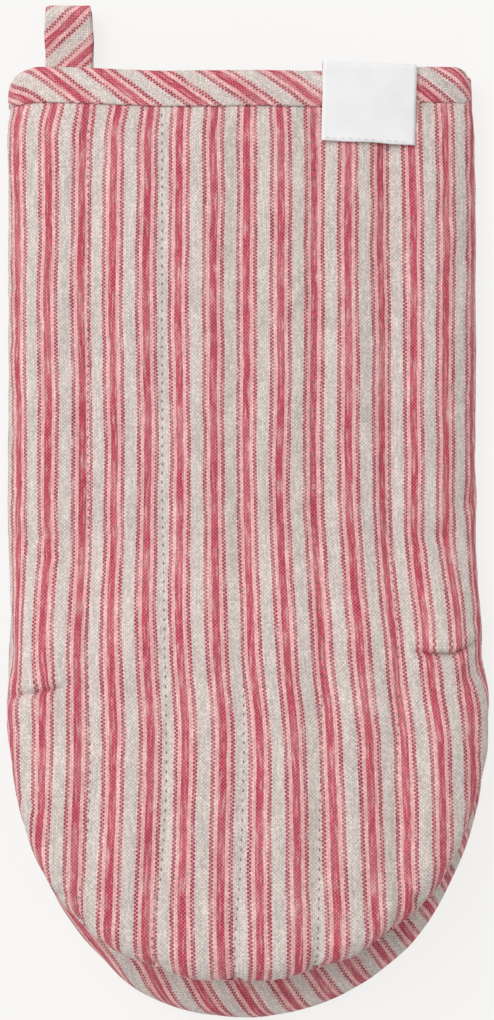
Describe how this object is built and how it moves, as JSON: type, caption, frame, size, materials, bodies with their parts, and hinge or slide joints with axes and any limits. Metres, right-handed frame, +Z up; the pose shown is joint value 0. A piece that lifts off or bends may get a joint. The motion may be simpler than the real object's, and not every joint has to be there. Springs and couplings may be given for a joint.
{
  "type": "oven mitt",
  "caption": "Quilted jaw oven mitt of striped ticking: bound tubular cuff, gaping thumb and finger lobes, cloth hanging loop and a bare edge label.",
  "frame": {"origin": "under the middle of the whole mitt, on the surface it lies on", "axes": "+X across the mitt to the label's side, +Y from the finger tip to the cuff's opening, +Z up from the surface it lies on"},
  "size_m": [0.161, 0.351, 0.0562],
  "materials": {
    "ticking_cloth": "matt woven stripe",
    "lining_cloth": "matt plain weave",
    "batting": "matt felted fibre",
    "label_tape": "smooth woven tape",
    "sewing_thread": "matt thread",
    "white_thread": "matt thread"
  },
  "bodies": {
    "cuff": {"front_cloth_cuff": "ticking_cloth", "front_batting_cuff": "batting", "front_lining_cuff": "lining_cloth", "front_quilting_cuff": "sewing_thread", "back_cloth_cuff": "ticking_cloth", "back_batting_cuff": "batting", "back_lining_cuff": "lining_cloth", "back_quilting_cuff": "sewing_thread", "side_seam_left": "sewing_thread", "side_seam_right": "sewing_thread", "opening_binding": "ticking_cloth", "binding_stitching": "sewing_thread", "label": "label_tape", "label_stitching": "white_thread", "mouth_fold_cloth": "ticking_cloth", "mouth_fold_batting": "batting", "mouth_fold_lining": "lining_cloth"},
    "thumb_lobe": {"front_cloth_thumb": "ticking_cloth", "front_batting_thumb": "batting", "front_lining_thumb": "lining_cloth", "front_quilting_thumb": "sewing_thread", "mouth_cloth_thumb": "ticking_cloth", "mouth_batting_thumb": "batting", "mouth_lining_thumb": "lining_cloth", "thumb_seam_thread": "sewing_thread"},
    "finger_lobe": {"back_cloth_finger": "ticking_cloth", "back_batting_finger": "batting", "back_lining_finger": "lining_cloth", "back_quilting_finger": "sewing_thread", "mouth_cloth_finger": "ticking_cloth", "mouth_batting_finger": "batting", "mouth_lining_finger": "lining_cloth", "finger_seam_thread": "sewing_thread"},
    "hanging_loop": {"hanging_loop": "ticking_cloth"}
  },
  "joints": [
    {"name": "thumb_hinge", "type": "hinge", "parent": "cuff", "child": "thumb_lobe", "pos_m": [0, -0.0525, 0.0401], "axis": [-1, 0, 0], "range_deg": [-14, 40], "stiffness_Nm_per_rad": 0.5, "springref_deg": 0.97, "deforming": ["mouth_fold_cloth", "mouth_fold_batting", "mouth_fold_lining"]},
    {"name": "finger_hinge", "type": "hinge", "parent": "cuff", "child": "finger_lobe", "pos_m": [0, -0.0525, 0], "axis": [1, 0, 0], "range_deg": [0, 30], "stiffness_Nm_per_rad": 0.5},
    {"name": "loop_hinge", "type": "hinge", "parent": "cuff", "child": "hanging_loop", "pos_m": [-0.0598, 0.1514, 0.0049], "axis": [1, 0, 0], "range_deg": [-80, 70]}
  ]
}
